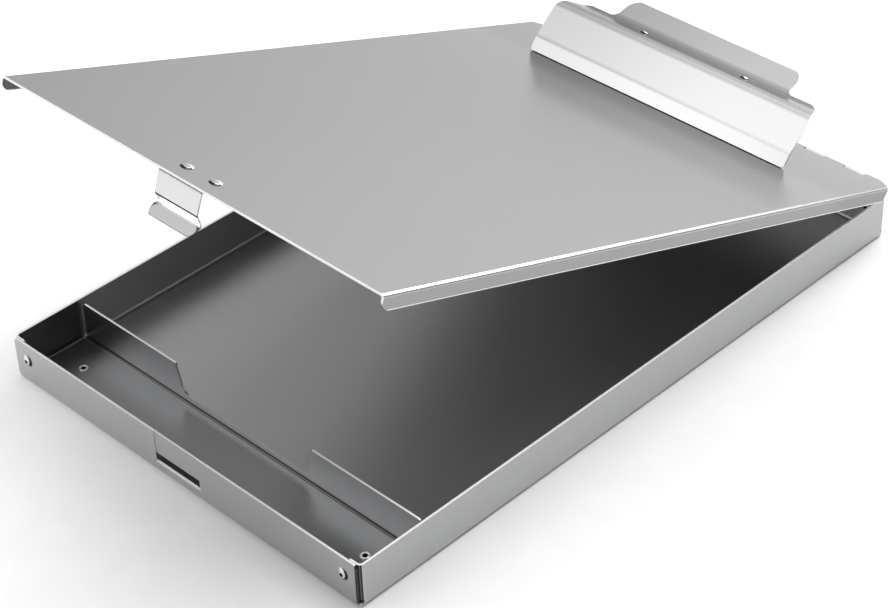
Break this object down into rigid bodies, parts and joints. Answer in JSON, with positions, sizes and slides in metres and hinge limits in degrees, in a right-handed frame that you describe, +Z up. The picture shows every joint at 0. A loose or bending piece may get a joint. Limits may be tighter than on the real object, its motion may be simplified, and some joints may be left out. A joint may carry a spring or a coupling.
{
  "type": "storage clipboard box",
  "caption": "Shallow sheet-metal tray with a pen compartment and a latch slot, under a hinged writing-plate lid that carries a spring clip with a thumb lever.",
  "frame": {"origin": "middle of the flat underside of the tray", "axes": "+Z up out of the tray, +Y towards the hinge and the clip, -Y towards the latch, X across the width; the lid stands open at the picture's angle at rest"},
  "size_m": [0.244, 0.3778, 0.1582],
  "materials": {
    "tray_sheet": "satin mill-finish sheet with fine rolling lines, brighter sheared edges",
    "lid_sheet": "satin anodised sheet, slightly cloudy, bright folded edges",
    "clip_sheet": "brighter brushed sheet, softly polished bends",
    "latch_leaf": "bright rolled leaf",
    "rivets": "polished rivet heads",
    "steel_pins": "drawn steel wire",
    "zinc_steel": "bright zinc-plated sheet with a faint spangle",
    "spring_wire": "drawn spring wire, slightly oiled"
  },
  "bodies": {
    "tray": {"tray_shell": "tray_sheet", "front_corner_rivets": "rivets", "back_corner_rivets": "rivets", "pen_divider": "tray_sheet", "divider_eyelets": "rivets", "hinge_pin": "steel_pins"},
    "lid": {"lid_panel": "lid_sheet", "latch_foot": "latch_leaf", "latch_rivets": "rivets", "clip_base": "zinc_steel", "clip_base_rivets": "rivets", "clip_rod": "steel_pins", "clip_rod_caps": "steel_pins"},
    "latch": {"latch_tongue": "latch_leaf"},
    "jaw": {"clip_jaw": "clip_sheet", "jaw_bracket": "zinc_steel", "jaw_rivets": "rivets", "clip_spring_left": "spring_wire", "clip_spring_right": "spring_wire"}
  },
  "joints": [
    {"name": "lid_hinge", "type": "hinge", "parent": "tray", "child": "lid", "pos_m": [0, 0.1818, 0.03], "axis": [-1, 0, 0], "range_deg": [-21.02, 119]},
    {"name": "latch_flex", "type": "hinge", "parent": "lid", "child": "latch", "pos_m": [0, -0.16423, 0.15599], "axis": [-1, 0, 0], "range_deg": [0, 12], "stiffness_Nm_per_rad": 0.1},
    {"name": "clip_pivot", "type": "hinge", "parent": "lid", "child": "jaw", "pos_m": [0, 0.16752, 0.04924], "axis": [-1, 0, 0], "range_deg": [0, 26], "stiffness_Nm_per_rad": 0.25, "springref_deg": -45.84}
  ]
}
